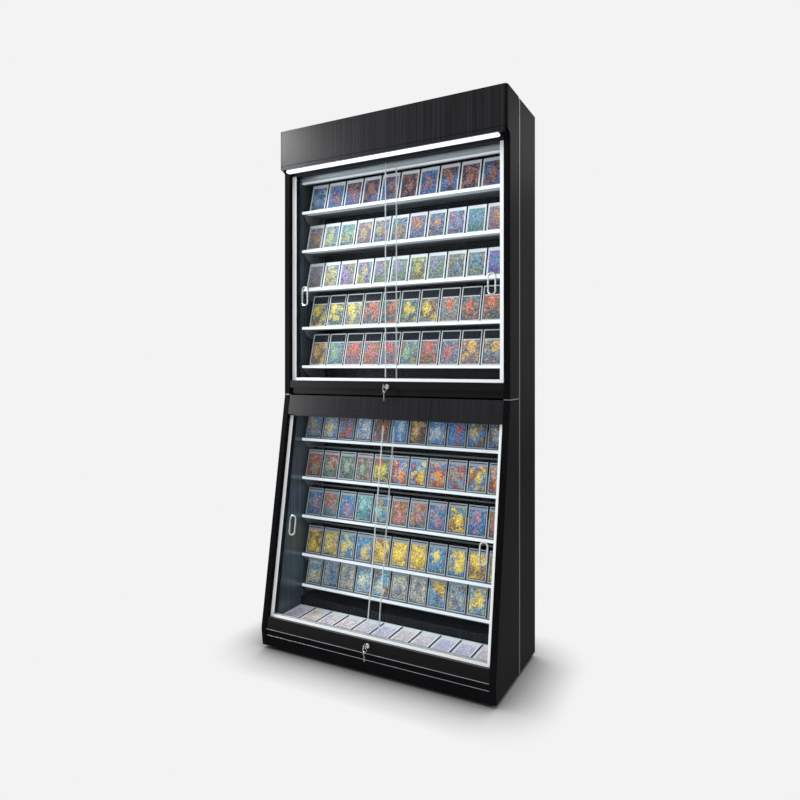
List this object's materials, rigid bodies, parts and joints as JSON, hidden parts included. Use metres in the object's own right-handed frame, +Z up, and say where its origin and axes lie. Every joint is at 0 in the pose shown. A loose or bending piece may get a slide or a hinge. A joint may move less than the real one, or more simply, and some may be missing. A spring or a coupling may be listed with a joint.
{
  "type": "display case",
  "caption": "Tall lit display case with two glazed sections, sliding glass doors with finger pulls, angled card shelves, a leaning lower front, key locks and levelling feet.",
  "frame": {"origin": "middle of the footprint of the bounding box, on the floor under the levelling feet", "axes": "+X to the right seen from the front, +Y towards the back, +Z up; the glass doors face -Y"},
  "size_m": [0.966, 0.4738, 2.064],
  "materials": {
    "dark_laminate": "vertical brushed laminate",
    "brushed_fascia": "brushed, satin",
    "bright_trim": "satin",
    "light_diffuser": "opal",
    "shelf_sheet": "satin",
    "grey_aluminium": "satin",
    "white_profile": "gloss",
    "gloss_liner": "gloss",
    "black_board": "black faced board",
    "black_rail": "satin",
    "door_glass": "clear",
    "pull_metal": "polished",
    "lock_metal": "polished",
    "foot_plastic": "moulded",
    "card_holder": "clear holder with printed card",
    "driver_case": "moulded",
    "black_plastic": "moulded"
  },
  "bodies": {
    "cabinet": {"base_panel": "black_board", "cable_gland": "black_plastic", "ceiling_panel": "gloss_liner", "ceiling_valance": "grey_aluminium", "display_back_panels": "gloss_liner", "door_jambs": "white_profile", "header_fascia": "brushed_fascia", "header_light_diffusers": "light_diffuser", "header_light_housing": "grey_aluminium", "led_driver": "driver_case", "lower_cards": "card_holder", "lower_door_tracks": "white_profile", "lower_fascia": "brushed_fascia", "lower_floor_tray": "white_profile", "lower_lock_body": "lock_metal", "lower_lock_rail": "black_rail", "lower_shelf_1": "shelf_sheet", "lower_shelf_2": "shelf_sheet", "lower_shelf_3": "shelf_sheet", "lower_shelf_4": "shelf_sheet", "lower_shelf_5": "shelf_sheet", "lower_side_panel_left": "dark_laminate", "lower_side_panel_right": "dark_laminate", "middle_deck": "black_board", "plinth_panel": "dark_laminate", "rear_cover_panel": "black_board", "rear_side_panels": "dark_laminate", "seam_trims": "bright_trim", "shelf_light_strips": "light_diffuser", "shelf_posts": "grey_aluminium", "side_liners": "gloss_liner", "top_panels": "dark_laminate", "upper_cards": "card_holder", "upper_door_tracks": "white_profile", "upper_lock_body": "lock_metal", "upper_lock_rail": "black_rail", "upper_shelf_1": "shelf_sheet", "upper_shelf_2": "shelf_sheet", "upper_shelf_3": "shelf_sheet", "upper_shelf_4": "shelf_sheet", "upper_shelf_5": "shelf_sheet", "upper_side_panel_left": "dark_laminate", "upper_side_panel_right": "dark_laminate"},
    "upper_left_door": {"upper_left_door_glass": "door_glass", "upper_left_door_pull": "pull_metal"},
    "upper_right_door": {"upper_right_door_glass": "door_glass", "upper_right_door_pull": "pull_metal"},
    "lower_left_door": {"lower_left_door_glass": "door_glass", "lower_left_door_pull": "pull_metal"},
    "lower_right_door": {"lower_right_door_glass": "door_glass", "lower_right_door_pull": "pull_metal"},
    "upper_plug": {"upper_lock_plug": "lock_metal"},
    "upper_keys": {"upper_key_ring": "lock_metal"},
    "lower_plug": {"lower_lock_plug": "lock_metal"},
    "lower_keys": {"lower_key_ring": "lock_metal"},
    "front_left_foot": {"foot_front_left": "foot_plastic"},
    "front_right_foot": {"foot_front_right": "foot_plastic"},
    "rear_left_foot": {"foot_rear_left": "foot_plastic"},
    "rear_right_foot": {"foot_rear_right": "foot_plastic"}
  },
  "joints": [
    {"name": "upper_left_door_slide", "type": "slide", "parent": "cabinet", "child": "upper_left_door", "axis": [1, 0, 0], "range_m": [0, 0.428]},
    {"name": "upper_right_door_slide", "type": "slide", "parent": "cabinet", "child": "upper_right_door", "axis": [1, 0, 0], "range_m": [-0.428, 0]},
    {"name": "lower_left_door_slide", "type": "slide", "parent": "cabinet", "child": "lower_left_door", "axis": [1, 0, 0], "range_m": [0, 0.428]},
    {"name": "lower_right_door_slide", "type": "slide", "parent": "cabinet", "child": "lower_right_door", "axis": [1, 0, 0], "range_m": [-0.428, 0]},
    {"name": "upper_lock_turn", "type": "hinge", "parent": "cabinet", "child": "upper_plug", "pos_m": [0, -0.06309, 1.0315], "axis": [0, 1, 0], "range_deg": [0, 90]},
    {"name": "upper_keys_swing", "type": "hinge", "parent": "upper_plug", "child": "upper_keys", "pos_m": [0, -0.08469, 1.0315], "axis": [0, 1, 0], "range_deg": [-10, 10]},
    {"name": "lower_lock_turn", "type": "hinge", "parent": "cabinet", "child": "lower_plug", "pos_m": [0, -0.20558, 0.10882], "axis": [0, 0.9873, -0.1591], "range_deg": [0, 90]},
    {"name": "lower_keys_swing", "type": "hinge", "parent": "lower_plug", "child": "lower_keys", "pos_m": [0, -0.22691, 0.11226], "axis": [0, 1, 0], "range_deg": [-10, 10]},
    {"name": "foot_front_left_adjust", "type": "slide", "parent": "cabinet", "child": "front_left_foot", "axis": [0, 0, 1], "range_m": [-0.012, 0]},
    {"name": "foot_front_right_adjust", "type": "slide", "parent": "cabinet", "child": "front_right_foot", "axis": [0, 0, 1], "range_m": [-0.012, 0]},
    {"name": "foot_rear_left_adjust", "type": "slide", "parent": "cabinet", "child": "rear_left_foot", "axis": [0, 0, 1], "range_m": [-0.012, 0]},
    {"name": "foot_rear_right_adjust", "type": "slide", "parent": "cabinet", "child": "rear_right_foot", "axis": [0, 0, 1], "range_m": [-0.012, 0]}
  ]
}
